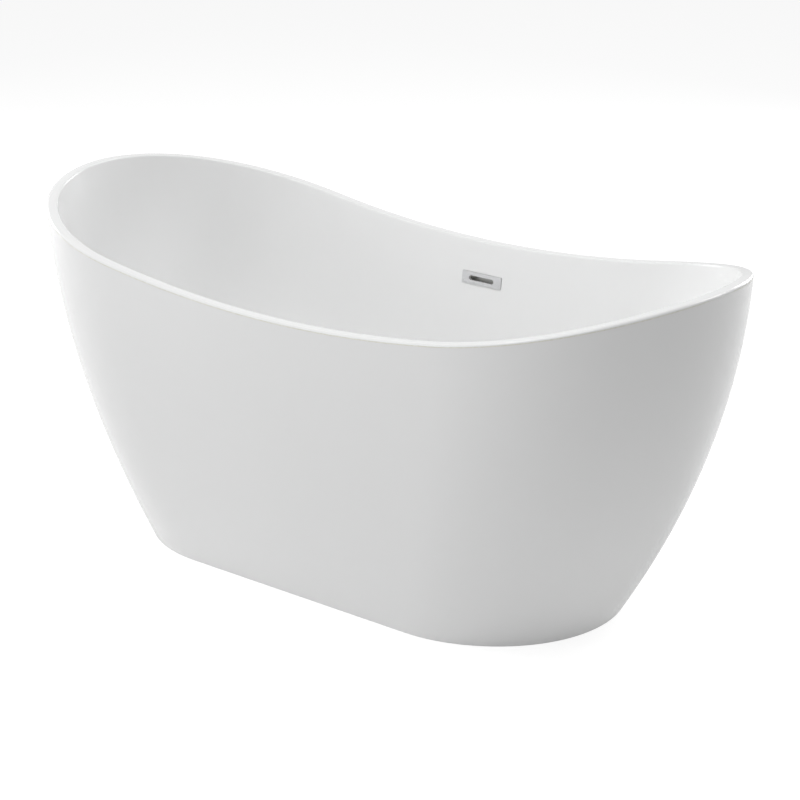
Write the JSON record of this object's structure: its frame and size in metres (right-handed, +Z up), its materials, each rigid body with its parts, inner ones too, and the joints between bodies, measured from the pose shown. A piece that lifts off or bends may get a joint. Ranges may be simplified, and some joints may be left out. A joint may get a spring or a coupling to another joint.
{
  "type": "freestanding bathtub",
  "caption": "Freestanding oval bathtub with raised ends, tapered one-piece skirt, slotted overflow, pop-up waste and levelling feet under a steel frame.",
  "frame": {"origin": "on the floor, below the centre of the drain and the middle of the tub", "axes": "+X along the tub towards one raised end, +Y towards the long side that carries the overflow, +Z up"},
  "size_m": [1.4996, 0.6794, 0.675],
  "materials": {
    "white_acrylic": "high gloss, cast acrylic sheet backed with glass fibre",
    "resin_coated_board": "board sealed in glass fibre resin",
    "frame_steel": "grey powder coat",
    "zinc_plated_steel": "bright zinc plate",
    "foot_nylon": "black moulded nylon",
    "polished_chrome": "polished",
    "plated_brass": "nickel-plated brass, satin",
    "black_rubber": "moulded rubber, matt",
    "slip_fibre": "pressed fibre",
    "waste_plastic": "white moulded plastic, satin",
    "stainless_steel": "satin",
    "hose_vinyl": "ribbed flexible vinyl"
  },
  "bodies": {
    "tub": {"basin": "white_acrylic", "skirt": "white_acrylic", "base_board": "resin_coated_board", "frame_rail_rear": "frame_steel", "frame_rail_front": "frame_steel", "end_member_left": "frame_steel", "end_member_right": "frame_steel", "inner_member_left": "frame_steel", "inner_member_right": "frame_steel", "board_screws": "zinc_plated_steel", "skirt_brackets": "zinc_plated_steel", "bracket_tube_screws": "zinc_plated_steel", "bracket_flange_screws": "zinc_plated_steel", "foot_weld_nuts": "zinc_plated_steel", "foot_lock_nuts": "zinc_plated_steel", "drain_flange": "polished_chrome", "drain_flange_gasket": "black_rubber", "drain_under_gasket": "black_rubber", "drain_slip_washer": "slip_fibre", "drain_nut": "plated_brass", "waste_tee": "waste_plastic", "waste_tee_seal": "black_rubber", "tailpiece": "plated_brass", "tail_washer": "black_rubber", "tail_nut": "waste_plastic", "stopper_barrel": "waste_plastic", "stopper_spring": "stainless_steel", "overflow_plate": "polished_chrome", "overflow_bracket": "stainless_steel", "overflow_front_gasket": "black_rubber", "overflow_rear_gasket": "black_rubber", "overflow_screws": "stainless_steel", "overflow_duct": "waste_plastic", "overflow_hose": "hose_vinyl", "hose_clip_top": "stainless_steel", "hose_clip_bottom": "stainless_steel"},
    "stopper": {"stopper_plunger": "waste_plastic", "stopper_seal": "black_rubber", "stopper_cap": "polished_chrome"},
    "foot_1": {"foot_pad_1": "foot_nylon"},
    "stud_1": {"foot_stud_1": "zinc_plated_steel"},
    "foot_2": {"foot_pad_2": "foot_nylon"},
    "stud_2": {"foot_stud_2": "zinc_plated_steel"},
    "foot_3": {"foot_pad_3": "foot_nylon"},
    "stud_3": {"foot_stud_3": "zinc_plated_steel"},
    "foot_4": {"foot_pad_4": "foot_nylon"},
    "stud_4": {"foot_stud_4": "zinc_plated_steel"}
  },
  "joints": [
    {"name": "stopper_slide", "type": "slide", "parent": "tub", "child": "stopper", "axis": [0, 0, -1], "range_m": [0, 0.01], "deforming": ["stopper_spring"]},
    {"name": "foot_1_height", "type": "slide", "parent": "tub", "child": "foot_1", "axis": [0, 0, -1], "range_m": [0, 0.02]},
    {"name": "stud_1_turn", "type": "hinge", "parent": "foot_1", "child": "stud_1", "pos_m": [0.38, 0.14012, 0], "axis": [0, 0, -1], "range_deg": [0, 4115]},
    {"name": "foot_2_height", "type": "slide", "parent": "tub", "child": "foot_2", "axis": [0, 0, -1], "range_m": [0, 0.02]},
    {"name": "stud_2_turn", "type": "hinge", "parent": "foot_2", "child": "stud_2", "pos_m": [-0.38, 0.14012, 0], "axis": [0, 0, -1], "range_deg": [0, 4115]},
    {"name": "foot_3_height", "type": "slide", "parent": "tub", "child": "foot_3", "axis": [0, 0, -1], "range_m": [0, 0.02]},
    {"name": "stud_3_turn", "type": "hinge", "parent": "foot_3", "child": "stud_3", "pos_m": [-0.38, -0.14012, 0], "axis": [0, 0, -1], "range_deg": [0, 4115]},
    {"name": "foot_4_height", "type": "slide", "parent": "tub", "child": "foot_4", "axis": [0, 0, -1], "range_m": [0, 0.02]},
    {"name": "stud_4_turn", "type": "hinge", "parent": "foot_4", "child": "stud_4", "pos_m": [0.38, -0.14012, 0], "axis": [0, 0, -1], "range_deg": [0, 4115]}
  ],
  "couplings": [
    {"joint": "stud_1_turn", "follows": "foot_1_height", "rad_per_m": 3590.4},
    {"joint": "stud_2_turn", "follows": "foot_2_height", "rad_per_m": 3590.4},
    {"joint": "stud_3_turn", "follows": "foot_3_height", "rad_per_m": 3590.4},
    {"joint": "stud_4_turn", "follows": "foot_4_height", "rad_per_m": 3590.4}
  ]
}
